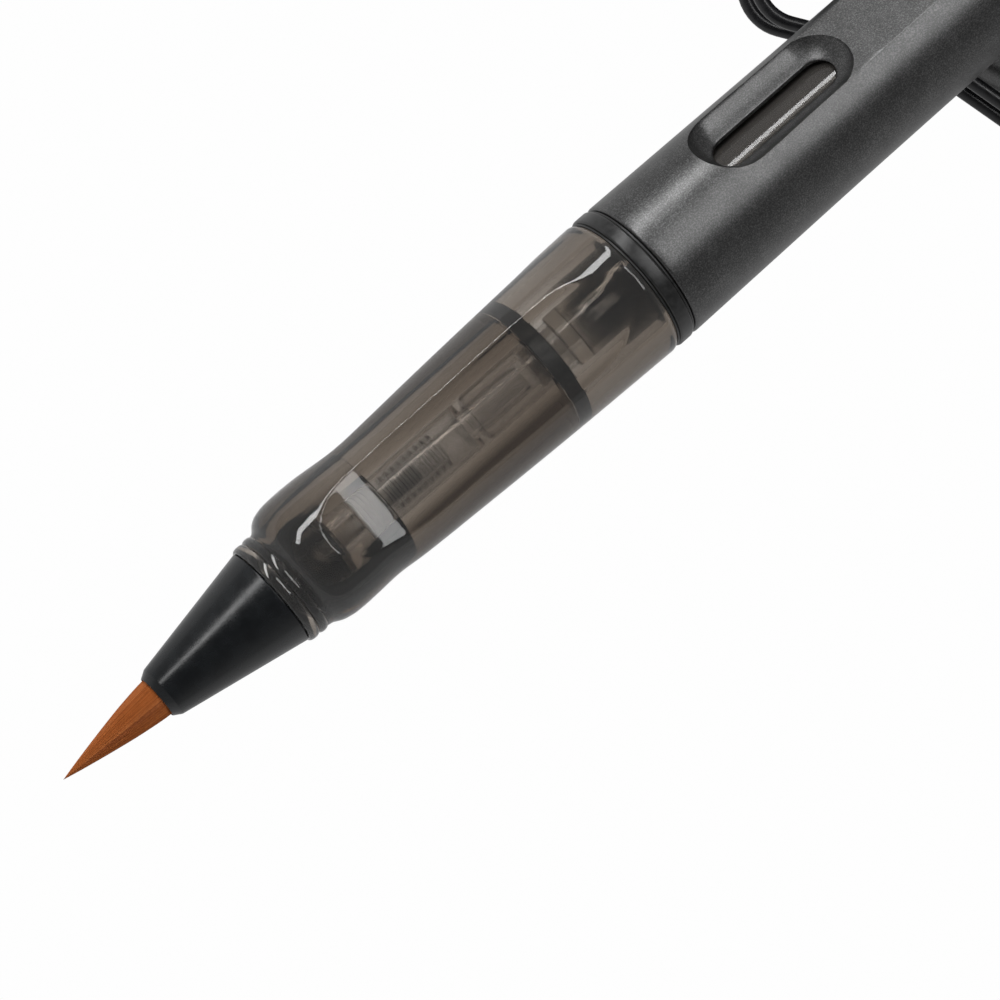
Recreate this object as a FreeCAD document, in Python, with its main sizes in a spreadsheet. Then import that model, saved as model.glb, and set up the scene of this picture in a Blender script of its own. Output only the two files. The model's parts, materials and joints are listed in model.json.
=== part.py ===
import FreeCAD, Part
import math
import os
import Sketcher

# A brush fountain pen lying across its own cap.  The pen's sub-parts are modelled about a local
# Z axis (z = 0 at the brush tip, millimetres) and then laid down together; the cap's sub-parts
# are modelled about their own Z axis (z = 0 at the mouth) and laid crosswise under the barrel.

os.makedirs("parts", exist_ok=True)
doc = FreeCAD.newDocument("brush_pen")
sheet = doc.addObject("Spreadsheet::Sheet", "dims")
values = {}


def put(**cells):
    """Write named driving dimensions into the sheet."""
    for alias, number in cells.items():
        cell = "A%d" % (len(values) + 1)
        sheet.set(cell, str(number))
        sheet.setAlias(cell, alias)
        values[alias] = float(number)


def number(text):
    """Value of a sum of named dimensions and plain numbers, such as 'grip_front + 1.5'."""
    total, sign = 0.0, 1.0
    for token in str(text).split():
        if token in "+-":
            sign = 1.0 if token == "+" else -1.0
        else:
            total += sign * (values[token] if token in values else float(token))
    return total


def bound(text):
    """The same sum as an expression that reads the sheet."""
    tokens = str(text).split()
    return " ".join("dims." + token if token in values else token for token in tokens)


# ---------------------------------------------------------------- driving dimensions (mm, degrees)
# pen attitude: tilt of the axis, height of the brush tip, and the origin under the whole object
put(pen_tilt=11.25, tip_rise=0.40, origin_x=65.632, origin_y=-11.435)
# cap attitude: where its axis crosses under the pen, heading of the mouth, droop of the clip
put(cap_cross_x=103.7, cap_heading=21.2, clip_droop=18.0, cap_cross_z=46.6)
# brush unit
put(hair_len=9.5, hair_r=1.72, hair_root_r=1.75, hair_bulge_r=118.0, tuft_end=16.0)
put(plug_end=18.2, plug_r=2.0)
put(ferrule_mouth_r=1.85, ferrule_front_r=2.25, ferrule_corner=10.1, ferrule_end=21.2)
put(ferrule_end_r=4.35, spigot_r=3.3, spigot_end=27.0, hair_bore_r=1.8, sleeve_bore_r=2.05)
put(sleeve_inner_r=1.3, feed_r=1.2, feed_end=36.0)
# grip section
put(grip_front=21.25, collar_r=4.67, collar_end=23.0, grip_end=58.65)
put(body_front_r=5.02, body_waist=32.7, body_waist_r=5.45, body_mid=46.0, body_mid_r=6.03)
put(body_end_r=6.38, lip_start=23.4, lip_top=26.2, lip_r=5.53, lip_end=32.4, lip_shift=0.29)
put(lip_flank_r=5.0, front_bore_r=3.4, front_bore_end=32.3, mid_bore_r=3.25, mid_bore_end=48.9)
put(rear_bore_r=4.25, thread_start=60.95, thread_end=67.98, thread_root_r=5.05, thread_crest_r=5.3)
put(thread_pitch=1.0)
# finger flats of the grip
put(flat_front=27.05, flat_front_r=5.5, flat_floor_start=32.9, flat_floor_start_r=4.30)
put(flat_floor_end=52.8, flat_floor_end_r=5.12, flat_rear=58.4, flat_rear_r=6.48)
put(flat_angle=60.0, grip_turn=56.0, cut_width=18.0, cut_top_r=8.0)
# inner pieces of the grip
put(housing_start=27.3, housing_end=29.7, housing_r=3.35, passage_r=1.35)
put(frost_end=32.2, comb_start=33.0, comb_end=38.6, comb_r=2.35, comb_core_r=1.75)
put(fin_pitch=0.62, fin_len=0.26, nipple_r=3.05, nipple_wall=0.45, nipple_end=41.3)
put(pierce_r=1.85, pierce_end=47.0, seal_start=49.2, seal_end=50.6, seal_inner_r=3.25, seal_r=4.22)
# rings between grip and barrel
put(gasket_inner_r=5.4, gasket_r=6.28, front_gasket_start=58.68, front_gasket_end=58.9)
put(ring_end=60.22, ring_r=6.42, ring_edge=0.18, rear_gasket_end=60.46)
# barrel
put(barrel_start=60.5, barrel_front_r=6.40, barrel_mid=80.0, barrel_mid_r=6.22, barrel_end=130.0)
put(barrel_end_r=6.02, barrel_edge=0.25, insert_end=68.4, insert_r=5.75, barrel_bore_r=4.02)
put(window_angle=-36.0, insert_inner_r=5.36)
put(face_start=68.7, face_r=5.24, face_half=3.45, slot_start=70.2, slot_end=82.7)
put(recess_end=84.2, slot_half=1.64, recess_floor_r=4.06, cut_end=140.0)
put(end_plug_r=5.6, end_plug_len=3.4, end_spigot_r=4.0, end_spigot_start=124.0)
# converter
put(mouth_start=42.0, mouth_end=51.0, mouth_r=3.15, mouth_bore_r=1.92, mouth_bore_end=47.6)
put(neck_socket_r=2.6, neck_start=47.8, neck_r=2.58, neck_bore_r=1.1)
put(tube_start=51.02, tube_end=98.0, tube_r=3.62, tube_bore_r=2.9, tube_shoulder=52.4)
put(band_start=90.0, band_end=99.4, band_r=3.85, nut_start=98.02, nut_end=101.0, nut_r=3.6)
put(nut_bore_r=1.0)
put(knob_start=101.25, knob_end=113.0, knob_r=3.7, knob_edge=0.4, flute_r=0.55, flute_count=12)
put(screw_r=0.92, screw_start=74.0, head_start=62.0, head_end=66.0, head_r=2.86)
put(groove_r=2.3, groove_start=63.3, groove_end=64.7, seal_lip_r=2.88, stem_r=1.6, stem_bore_r=1.0)
put(stem_end=89.5)
# cap
put(cap_r=7.25, cap_wall=0.4, cap_end=66.5, cap_edge=0.2, cap_top_r=7.05, cap_taper_start=52.0)
put(liner_r=6.83, liner_bore_r=6.5, liner_start=0.9, liner_floor=60.2, liner_end=60.8)
put(holder_start=61.0, holder_end=66.4, holder_r=6.6, holder_slot_half=3.6, holder_slot_floor=1.7)
put(slot_low=62.3, slot_high=65.8, finial_end=69.0, finial_r=6.9, finial_edge=0.7)
put(pin_r=1.5, pin_start=63.0, finial_dish_r=4.4, finial_dish=0.4)
# wire clip, in the plane through the cap's axis: distance from the axis and height up the cap
put(clip_wire_r=0.62, clip_half_gap=2.5, clip_root_r=2.5, clip_root_z=64.2, clip_peak_r=12.92)
put(clip_bend_r=7.2, clip_pinch_r=7.98, clip_pinch_z=46.1, clip_pinch_bend=12.0)
put(clip_tip_r=9.55, clip_tip_z=28.5)
doc.recompute()


# ---------------------------------------------------------------- helpers for the turned pieces
def new_body(name):
    body = doc.addObject("PartDesign::Body", name)
    body.Label = name
    return body


def base_plane(body, role):
    return next(item for item in body.Origin.OriginFeatures if item.Role == role)


def new_sketch(body, name, role="XZ_Plane", turn=0.0, shift=0.0):
    """Sketch on a base plane; turn swings an upright plane about the Z axis, shift moves it
    along its own first direction."""
    sketch = body.newObject("Sketcher::SketchObject", name)
    sketch.AttachmentSupport = (base_plane(body, role), "")
    sketch.MapMode = "FlatFace"
    swing = FreeCAD.Rotation(FreeCAD.Vector(0, 1, 0), turn)
    offset = swing.multVec(FreeCAD.Vector(shift, 0, 0))
    sketch.AttachmentOffset = FreeCAD.Placement(offset, swing)
    return sketch


def place_point(sketch, item, end, across, along):
    """Tie one end of a sketch line to named distances from the sketch's origin."""
    if number(across) == 0.0:
        sketch.addConstraint(Sketcher.Constraint("PointOnObject", item, end, -2))
    else:
        index = sketch.addConstraint(
            Sketcher.Constraint("DistanceX", -1, 1, item, end, number(across)))
        sketch.setExpression("Constraints[%d]" % index, bound(across))
    if number(along) == 0.0:
        sketch.addConstraint(Sketcher.Constraint("PointOnObject", item, end, -1))
    else:
        index = sketch.addConstraint(
            Sketcher.Constraint("DistanceY", -1, 1, item, end, number(along)))
        sketch.setExpression("Constraints[%d]" % index, bound(along))


def bulged_arc(start, end, radius):
    """Circular arc of that radius from start to end; a positive radius bulges to the right."""
    chord = end - start
    half = chord.Length / 2
    side = FreeCAD.Vector(chord.y, -chord.x, 0).normalize()
    reach = math.sqrt(radius * radius - half * half)
    sagitta = abs(radius) - reach
    middle = (start + end) * 0.5 + side * math.copysign(sagitta, radius)
    return Part.Arc(start, middle, end)


def draw_outline(sketch, outline):
    """Closed outline of (across, along) points.  A third entry is the radius of the arc that
    runs from that point to the next one, and a minus sign turns its bulge to the left."""
    corners = [FreeCAD.Vector(number(point[0]), number(point[1]), 0) for point in outline]
    count = len(outline)
    ends = []
    for index, point in enumerate(outline):
        start, end = corners[index], corners[(index + 1) % count]
        if len(point) == 2:
            item = sketch.addGeometry(Part.LineSegment(start, end), False)
            ends.append((item, 1, 2))
            continue
        sign = -1.0 if point[2].startswith("-") else 1.0
        radius_name = point[2].lstrip("-")
        arc = bulged_arc(start, end, sign * number(radius_name))
        item = sketch.addGeometry(arc, False)
        made = sketch.Geometry[item]
        turned = (made.StartPoint - start).Length > (made.EndPoint - start).Length
        ends.append((item, 2, 1) if turned else (item, 1, 2))
        rule = sketch.addConstraint(Sketcher.Constraint("Radius", item, number(radius_name)))
        sketch.setExpression("Constraints[%d]" % rule, bound(radius_name))
    for index, point in enumerate(outline):
        item, first, _ = ends[index]
        before, _, last = ends[index - 1]
        sketch.addConstraint(Sketcher.Constraint("Coincident", before, last, item, first))
        place_point(sketch, item, first, point[0], point[1])


def turn_feature(body, kind, name, outline, turn=0.0, shift=0.0):
    """Revolve an outline about the sketch's upright axis, adding or cutting."""
    sketch = new_sketch(body, name + "_outline", "XZ_Plane", turn, shift)
    draw_outline(sketch, outline)
    feature = body.newObject("PartDesign::" + kind, name)
    feature.Profile = sketch
    feature.ReferenceAxis = (sketch, ["V_Axis"])
    feature.Angle = 360
    return feature


def turned(name, outline):
    """A sub-part that is one outline revolved about the Z axis."""
    body = new_body(name)
    turn_feature(body, "Revolution", name + "_turned", outline)
    return body


def tube(name, inner, outer, low, high):
    """A plain tube, or a rod where the inner radius is zero."""
    return turned(name, [(inner, low), (outer, low), (outer, high), (inner, high)])


def cut_through(body, name, sketch, length_text):
    """Pocket that runs the same distance to both sides of its sketch."""
    pocket = body.newObject("PartDesign::Pocket", name)
    pocket.Profile = sketch
    pocket.Midplane = True
    pocket.setExpression("Length", bound(length_text))
    return pocket


def repeat_round(body, name, features, count, angle):
    """Repeat features about the Z axis."""
    pattern = body.newObject("PartDesign::PolarPattern", name)
    pattern.Originals = features
    pattern.Axis = (base_plane(body, "Z_Axis"), [""])
    pattern.Angle = angle
    pattern.Occurrences = count
    body.Tip = pattern
    return pattern


# ---------------------------------------------------------------- brush unit
def make_brush_unit():
    turned("brush_tuft", [
        ("0", "0", "hair_bulge_r"),
        ("hair_r", "hair_len"),
        ("hair_root_r", "hair_len + 1"),
        ("hair_root_r", "tuft_end"),
        ("0", "tuft_end")])
    tube("tuft_root_plug", "0", "plug_r", "tuft_end", "plug_end")
    turned("ferrule", [
        ("hair_bore_r", "hair_len"),
        ("ferrule_mouth_r", "hair_len"),
        ("ferrule_front_r", "ferrule_corner"),
        ("ferrule_end_r", "ferrule_end"),
        ("spigot_r", "ferrule_end"),
        ("spigot_r", "spigot_end"),
        ("sleeve_bore_r", "spigot_end"),
        ("sleeve_bore_r", "tuft_end"),
        ("hair_bore_r", "tuft_end")])
    tube("ferrule_sleeve", "sleeve_inner_r", "plug_r", "plug_end", "spigot_end")
    tube("ink_feed", "0", "feed_r", "plug_end", "feed_end")


# ---------------------------------------------------------------- grip section
def thread_outline():
    """Outline points of the ring threads on the grip's rear spigot."""
    points = []
    count = int((number("thread_end") - number("thread_start")) / number("thread_pitch"))
    for ridge in range(count):
        low = "thread_start + %g" % (ridge * number("thread_pitch"))
        points.append(("thread_root_r", low + " + 0.1"))
        points.append(("thread_crest_r", low + " + 0.4"))
        points.append(("thread_crest_r", low + " + 0.6"))
        points.append(("thread_root_r", low + " + 0.9"))
    return points


def make_grip_section():
    body = new_body("grip_section")
    turn_feature(body, "Revolution", "grip_shell", [
        ("front_bore_r", "grip_front"),
        ("collar_r - 0.3", "grip_front"),
        ("collar_r", "grip_front + 0.3"),
        ("collar_r", "grip_front + 0.75"),
        ("collar_r - 0.18", "grip_front + 0.95"),
        ("collar_r", "grip_front + 1.15"),
        ("collar_r", "collar_end - 0.1"),
        ("body_front_r", "lip_start + 0.9"),
        ("body_front_r", "lip_end - 4"),
        ("body_waist_r", "body_waist"),
        ("body_mid_r", "body_mid"),
        ("body_end_r", "grip_end - 0.6"),
        ("body_end_r - 0.2", "grip_end"),
        ("thread_root_r", "grip_end")]
        + thread_outline() + [
        ("thread_root_r", "thread_end"),
        ("rear_bore_r", "thread_end"),
        ("rear_bore_r", "mid_bore_end"),
        ("mid_bore_r", "mid_bore_end"),
        ("mid_bore_r", "front_bore_end"),
        ("front_bore_r", "front_bore_end")])
    # the finger stop at the front bulges towards the top of the grip, so its axis is shifted
    turn_feature(body, "Revolution", "finger_stop", [
        ("lip_flank_r - 1", "lip_start"),
        ("lip_flank_r - 0.1", "lip_start"),
        ("lip_r - 0.1", "lip_start + 1.4"),
        ("lip_r", "lip_top"),
        ("lip_r", "lip_top + 1.2"),
        ("lip_r - 0.2", "lip_end - 1.6"),
        ("lip_r - 0.45", "lip_end"),
        ("lip_flank_r - 1", "lip_end")], 0.0, number("lip_shift"))
    # two scooped finger flats, each with a floor that follows the taper and curls out at its ends
    sketch = new_sketch(body, "finger_flat_outline", "XZ_Plane", -number("flat_angle"))
    draw_outline(sketch, [
        ("flat_front_r", "flat_front"),
        ("flat_front_r - 0.72", "flat_front + 2.15"),
        ("flat_floor_start_r", "flat_floor_start"),
        ("flat_floor_end_r", "flat_floor_end"),
        ("flat_floor_end_r + 0.85", "flat_floor_end + 3.3"),
        ("flat_rear_r", "flat_rear"),
        ("cut_top_r", "flat_rear"),
        ("cut_top_r", "flat_front")])
    scoop = cut_through(body, "finger_flat", sketch, "cut_width")
    repeat_round(body, "finger_flats", [scoop], 2, 2 * number("flat_angle"))
    return body


def comb_outline():
    """Outline of the ink buffer: a core tube with evenly spaced thin fins."""
    points = [("passage_r", "comb_start"), ("comb_core_r", "comb_start")]
    count = int((number("comb_end") - number("comb_start")) / number("fin_pitch"))
    for fin in range(count):
        low = "comb_start + %g" % (0.2 + fin * number("fin_pitch"))
        points.append(("comb_core_r", low))
        points.append(("comb_r", low))
        points.append(("comb_r", low + " + fin_len"))
        points.append(("comb_core_r", low + " + fin_len"))
    return points + [("comb_core_r", "comb_end"), ("passage_r", "comb_end")]


def make_grip_inside():
    tube("feed_housing", "passage_r", "housing_r", "housing_start", "housing_end")
    turned("frosted_ring", [
        ("passage_r", "housing_end"),
        ("housing_r - 0.1", "housing_end"),
        ("housing_r", "housing_end + 0.15"),
        ("housing_r", "frost_end"),
        ("passage_r", "frost_end")])
    turned("buffer_comb", comb_outline())
    turned("ink_nipple", [
        ("nipple_r - nipple_wall", "front_bore_end"),
        ("nipple_r", "front_bore_end"),
        ("nipple_r", "nipple_end"),
        ("pierce_r", "nipple_end"),
        ("pierce_r", "pierce_end - 0.8"),
        ("pierce_r - 0.3", "pierce_end"),
        ("passage_r - 0.3", "pierce_end"),
        ("passage_r - 0.3", "nipple_end - nipple_wall"),
        ("nipple_r - nipple_wall", "nipple_end - nipple_wall")])
    tube("seal_ring", "seal_inner_r", "seal_r", "seal_start", "seal_end")


# ---------------------------------------------------------------- rings in front of the barrel
def make_rings():
    tube("front_gasket", "gasket_inner_r", "gasket_r", "front_gasket_start", "front_gasket_end")
    turned("spacer_ring", [
        ("gasket_inner_r", "front_gasket_end"),
        ("ring_r - ring_edge", "front_gasket_end"),
        ("ring_r", "front_gasket_end + ring_edge"),
        ("ring_r", "ring_end - ring_edge"),
        ("ring_r - ring_edge", "ring_end"),
        ("gasket_inner_r", "ring_end")])
    tube("rear_gasket", "gasket_inner_r", "gasket_r", "ring_end", "rear_gasket_end")


# ---------------------------------------------------------------- barrel
def stadium(sketch, low, high, half):
    """Slot outline with round ends, across = first sketch direction, along = second."""
    radius = number(half)
    start, stop = number(low) + radius, number(high) - radius
    up = FreeCAD.Vector(0, 0, 1)
    lower = Part.ArcOfCircle(Part.Circle(FreeCAD.Vector(0, start, 0), up, radius),
                             math.pi, 2 * math.pi)
    upper = Part.ArcOfCircle(Part.Circle(FreeCAD.Vector(0, stop, 0), up, radius), 0, math.pi)
    right = Part.LineSegment(FreeCAD.Vector(radius, start, 0), FreeCAD.Vector(radius, stop, 0))
    left = Part.LineSegment(FreeCAD.Vector(-radius, stop, 0), FreeCAD.Vector(-radius, start, 0))
    items = [sketch.addGeometry(item, False) for item in (lower, right, upper, left)]
    for index, item in enumerate(items):
        after = items[(index + 1) % len(items)]
        sketch.addConstraint(Sketcher.Constraint("Tangent", item, 2, after, 1))
    low_arc, _, high_arc, _ = items
    for arc, text in ((low_arc, low + " + " + half), (high_arc, high + " - " + half)):
        sketch.addConstraint(Sketcher.Constraint("PointOnObject", arc, 3, -2))
        rule = sketch.addConstraint(
            Sketcher.Constraint("DistanceY", -1, 1, arc, 3, number(text)))
        sketch.setExpression("Constraints[%d]" % rule, bound(text))
    rule = sketch.addConstraint(Sketcher.Constraint("Radius", low_arc, radius))
    sketch.setExpression("Constraints[%d]" % rule, bound(half))


def side_sketch(body, name, height):
    """Sketch across the +X side of a body, at a named distance from the axis."""
    sketch = body.newObject("Sketcher::SketchObject", name)
    sketch.AttachmentSupport = (base_plane(body, "YZ_Plane"), "")
    sketch.MapMode = "FlatFace"
    sketch.AttachmentOffset = FreeCAD.Placement(FreeCAD.Vector(0, 0, number(height)),
                                                FreeCAD.Rotation())
    sketch.setExpression(".AttachmentOffset.Base.z", bound(height))
    return sketch


def outward_pocket(body, name, sketch, length_text):
    """Pocket from a side sketch away from the axis, opening a flat or a slot."""
    pocket = body.newObject("PartDesign::Pocket", name)
    pocket.Profile = sketch
    pocket.Reversed = True
    pocket.setExpression("Length", bound(length_text))
    return pocket


def make_barrel_shell():
    body = new_body("barrel_shell")
    turn_feature(body, "Revolution", "barrel_tube", [
        ("insert_r", "barrel_start"),
        ("barrel_front_r - barrel_edge", "barrel_start"),
        ("barrel_front_r", "barrel_start + barrel_edge"),
        ("barrel_mid_r", "barrel_mid"),
        ("barrel_end_r", "barrel_end - 0.8"),
        ("barrel_end_r - 0.5", "barrel_end"),
        ("barrel_bore_r", "barrel_end"),
        ("barrel_bore_r", "insert_end"),
        ("insert_r", "insert_end")])
    # long side face with a round front end, then the bevelled window recess and its slot
    face = side_sketch(body, "face_outline", "face_r")
    stadium(face, "face_start", "cut_end", "face_half")
    face_cut = outward_pocket(body, "side_face", face, "face_half")
    wide = side_sketch(body, "recess_rim", "face_r + 0.01")
    stadium(wide, "face_start + 0.05", "recess_end", "face_half - 0.1")
    narrow = side_sketch(body, "recess_floor", "recess_floor_r")
    stadium(narrow, "slot_start", "slot_end", "slot_half")
    recess = body.newObject("PartDesign::SubtractiveLoft", "window_recess")
    recess.Profile = wide
    recess.Sections = [narrow]
    recess.Ruled = True
    slot = side_sketch(body, "slot_outline", "recess_floor_r - 1.2")
    stadium(slot, "slot_start", "slot_end", "slot_half")
    slot_cut = outward_pocket(body, "window_slot", slot, "face_half")
    repeat_round(body, "both_windows", [face_cut, recess, slot_cut], 2, 360)
    return body


def make_barrel_rest():
    tube("barrel_thread_insert", "insert_inner_r", "insert_r", "barrel_start + 0.1", "insert_end")
    turned("barrel_end_plug", [
        ("0", "end_spigot_start"),
        ("end_spigot_r", "end_spigot_start"),
        ("end_spigot_r", "barrel_end"),
        ("end_plug_r", "barrel_end"),
        ("end_plug_r", "barrel_end + 1.2"),
        ("end_plug_r - 0.9", "barrel_end + end_plug_len - 0.5"),
        ("0", "barrel_end + end_plug_len")])


# ---------------------------------------------------------------- ink converter
def make_converter():
    turned("converter_mouth", [
        ("mouth_bore_r", "mouth_start"),
        ("mouth_r - 0.2", "mouth_start"),
        ("mouth_r", "mouth_start + 0.3"),
        ("mouth_r", "mouth_end"),
        ("neck_socket_r", "mouth_end"),
        ("neck_socket_r", "mouth_bore_end"),
        ("mouth_bore_r", "mouth_bore_end")])
    turned("converter_tube", [
        ("neck_bore_r", "neck_start"),
        ("neck_r", "neck_start"),
        ("neck_r", "tube_start"),
        ("tube_r", "tube_start"),
        ("tube_r", "tube_end"),
        ("tube_bore_r", "tube_end"),
        ("tube_bore_r", "tube_shoulder"),
        ("neck_bore_r", "tube_shoulder")])
    tube("converter_band", "tube_r + 0.02", "band_r", "band_start", "band_end")
    tube("drive_nut", "nut_bore_r", "nut_r", "nut_start", "nut_end")
    turned("piston_head", [
        ("0", "head_start"),
        ("head_r - 0.5", "head_start"),
        ("head_r", "head_start + 0.8"),
        ("head_r", "groove_start"),
        ("groove_r", "groove_start"),
        ("groove_r", "groove_end"),
        ("head_r", "groove_end"),
        ("head_r", "head_end"),
        ("0", "head_end")])
    tube("piston_seal", "groove_r + 0.02", "seal_lip_r", "groove_start + 0.05", "groove_end - 0.05")
    tube("piston_stem", "stem_bore_r", "stem_r", "head_end", "stem_end")
    tube("drive_screw", "0", "screw_r", "screw_start", "knob_start")


def make_knob():
    body = new_body("converter_knob")
    turn_feature(body, "Revolution", "knob_blank", [
        ("0", "knob_start"),
        ("knob_r - knob_edge", "knob_start"),
        ("knob_r", "knob_start + knob_edge"),
        ("knob_r", "knob_end - knob_edge"),
        ("knob_r - knob_edge", "knob_end"),
        ("0", "knob_end")])
    flute = body.newObject("Sketcher::SketchObject", "flute_circle")
    flute.AttachmentSupport = (base_plane(body, "XY_Plane"), "")
    flute.MapMode = "FlatFace"
    flute.AttachmentOffset = FreeCAD.Placement(
        FreeCAD.Vector(0, 0, number("knob_start") + 2), FreeCAD.Rotation())
    centre = FreeCAD.Vector(number("knob_r") + 0.15, 0, 0)
    flute.addGeometry(Part.Circle(centre, FreeCAD.Vector(0, 0, 1), number("flute_r")), False)
    flute.addConstraint(Sketcher.Constraint("PointOnObject", 0, 3, -1))
    rule = flute.addConstraint(Sketcher.Constraint("Radius", 0, number("flute_r")))
    flute.setExpression("Constraints[%d]" % rule, "dims.flute_r")
    rule = flute.addConstraint(Sketcher.Constraint("DistanceX", -1, 1, 0, 3, centre.x))
    flute.setExpression("Constraints[%d]" % rule, "dims.knob_r + 0.15")
    pocket = body.newObject("PartDesign::Pocket", "flute")
    pocket.Profile = flute
    pocket.Reversed = True
    pocket.Length = 20
    repeat_round(body, "flutes", [pocket], int(number("flute_count")), 360)
    return body


# ---------------------------------------------------------------- cap
def make_cap_shell():
    body = new_body("cap_shell")
    turn_feature(body, "Revolution", "cap_tube", [
        ("cap_r - cap_wall", "0"),
        ("cap_r - cap_edge", "0"),
        ("cap_r", "cap_edge"),
        ("cap_r", "cap_taper_start"),
        ("cap_top_r + 0.12", "cap_end - 1.5"),
        ("cap_top_r - 0.15", "cap_end"),
        ("cap_r - cap_wall", "cap_end")])
    slot = side_sketch(body, "clip_slot_outline", "4")
    corners = [("0 - holder_slot_half", "slot_low"), ("holder_slot_half", "slot_low"),
               ("holder_slot_half", "slot_high"), ("0 - holder_slot_half", "slot_high")]
    draw_outline(slot, corners)
    outward_pocket(body, "clip_slot", slot, "cap_r")
    return body


def make_cap_holder():
    """Plug in the top of the cap that the clip's two ends are hooked into."""
    body = new_body("clip_holder")
    turn_feature(body, "Revolution", "holder_blank", [
        ("0", "holder_start"),
        ("holder_r", "holder_start"),
        ("holder_r", "holder_end"),
        ("pin_r", "holder_end"),
        ("pin_r", "pin_start"),
        ("0", "pin_start")])
    slot = side_sketch(body, "holder_slot_outline", "holder_slot_floor")
    corners = [("0 - holder_slot_half", "slot_low"), ("holder_slot_half", "slot_low"),
               ("holder_slot_half", "slot_high"), ("0 - holder_slot_half", "slot_high")]
    draw_outline(slot, corners)
    outward_pocket(body, "holder_slot", slot, "cap_r")
    return body


def make_cap_rest():
    turned("cap_liner", [
        ("liner_bore_r", "liner_start"),
        ("liner_r", "liner_start"),
        ("liner_r", "liner_end"),
        ("0", "liner_end"),
        ("0", "liner_floor"),
        ("liner_bore_r", "liner_floor")])
    turned("cap_finial", [
        ("0", "pin_start + 0.2"),
        ("pin_r - 0.02", "pin_start + 0.2"),
        ("pin_r - 0.02", "cap_end"),
        ("finial_r", "cap_end"),
        ("finial_r", "finial_end - finial_edge"),
        ("finial_r - finial_edge", "finial_end"),
        ("finial_dish_r", "finial_end"),
        ("finial_dish_r - 0.5", "finial_end - finial_dish"),
        ("0", "finial_end - finial_dish")])


def rounded_run(points, radii):
    """Edges of straight runs whose corners are rounded by tangent arcs."""
    edges = []
    start = points[0]
    for index in range(1, len(points) - 1):
        corner = points[index]
        back = (points[index - 1] - corner).normalize()
        ahead = (points[index + 1] - corner).normalize()
        half_angle = back.getAngle(ahead) / 2
        trim = radii[index - 1] / math.tan(half_angle)
        first, last = corner + back * trim, corner + ahead * trim
        inward = (back + ahead).normalize()
        centre = corner + inward * (radii[index - 1] / math.sin(half_angle))
        middle = centre - inward * radii[index - 1]
        edges.append(Part.LineSegment(start, first).toShape())
        edges.append(Part.Arc(first, middle, last).toShape())
        start = last
    edges.append(Part.LineSegment(start, points[-1]).toShape())
    return edges


def make_clip():
    """One bent wire: two strands side by side, joined by a round turn at the free end."""
    gap = number("clip_half_gap")
    strand = [("clip_root_r", "clip_root_z"), ("clip_peak_r", "clip_root_z"),
              ("clip_pinch_r", "clip_pinch_z"), ("clip_tip_r", "clip_tip_z")]
    radii = [number("clip_bend_r"), number("clip_pinch_bend")]
    path = []
    for side in (gap, -gap):
        points = [FreeCAD.Vector(number(out), side, number(up)) for out, up in strand]
        run = rounded_run(points, radii)
        if side > 0:
            path = run
            last_run = (points[-1] - points[-2]).normalize()
            far = points[-1] - FreeCAD.Vector(0, gap, 0) + last_run * gap
            other = points[-1] - FreeCAD.Vector(0, 2 * gap, 0)
            path.append(Part.Arc(points[-1], far, other).toShape())
        else:
            path += list(reversed(run))
    spine = Part.Wire(Part.__sortEdges__(path))
    root = FreeCAD.Vector(number("clip_root_r"), gap, number("clip_root_z"))
    ring = Part.Circle(root, FreeCAD.Vector(1, 0, 0), number("clip_wire_r"))
    clip = doc.addObject("Part::Feature", "cap_clip")
    clip.Label = "cap_clip"
    clip.Shape = spine.makePipeShell([Part.Wire(ring.toShape())], True, True)
    return clip


make_brush_unit()
make_grip_section()
make_grip_inside()
make_rings()
make_barrel_shell()
make_barrel_rest()
make_converter()
make_knob()
make_cap_shell()
make_cap_holder()
make_cap_rest()
make_clip()
doc.recompute()

# ---------------------------------------------------------------- lay the pieces down
CAP_NODES = ["cap_shell", "clip_holder", "cap_liner", "cap_finial", "cap_clip"]
TURNED_WITH_GRIP = ["grip_section"]
TURNED_WITH_WINDOW = ["barrel_shell", "barrel_thread_insert", "barrel_end_plug"]


def frame_rotation(x_axis, y_axis, z_axis):
    """Rotation that takes the local axes to the three given directions."""
    matrix = FreeCAD.Matrix(
        x_axis.x, y_axis.x, z_axis.x, 0,
        x_axis.y, y_axis.y, z_axis.y, 0,
        x_axis.z, y_axis.z, z_axis.z, 0,
        0, 0, 0, 1)
    return FreeCAD.Placement(matrix).Rotation


def pen_placement(roll):
    tilt = math.radians(number("pen_tilt"))
    along = FreeCAD.Vector(math.cos(tilt), 0, math.sin(tilt))
    above = FreeCAD.Vector(-math.sin(tilt), 0, math.cos(tilt))
    lay = frame_rotation(above, along.cross(above), along)
    spin = FreeCAD.Rotation(FreeCAD.Vector(0, 0, 1), roll)
    tip = FreeCAD.Vector(-number("origin_x"), -number("origin_y"), number("tip_rise"))
    return FreeCAD.Placement(tip, lay.multiply(spin))


def cap_placement():
    heading = math.radians(number("cap_heading"))
    droop = math.radians(number("clip_droop"))
    to_top = FreeCAD.Vector(-math.sin(heading), math.cos(heading), 0)
    level = FreeCAD.Vector(-math.cos(heading), -math.sin(heading), 0)
    to_clip = level * math.cos(droop) - FreeCAD.Vector(0, 0, math.sin(droop))
    lay = frame_rotation(to_clip, to_top.cross(to_clip), to_top)
    crossing = FreeCAD.Vector(number("cap_cross_x") - number("origin_x"),
                              -number("origin_y"), number("cap_r"))
    return FreeCAD.Placement(crossing - to_top * number("cap_cross_z"), lay)


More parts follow.
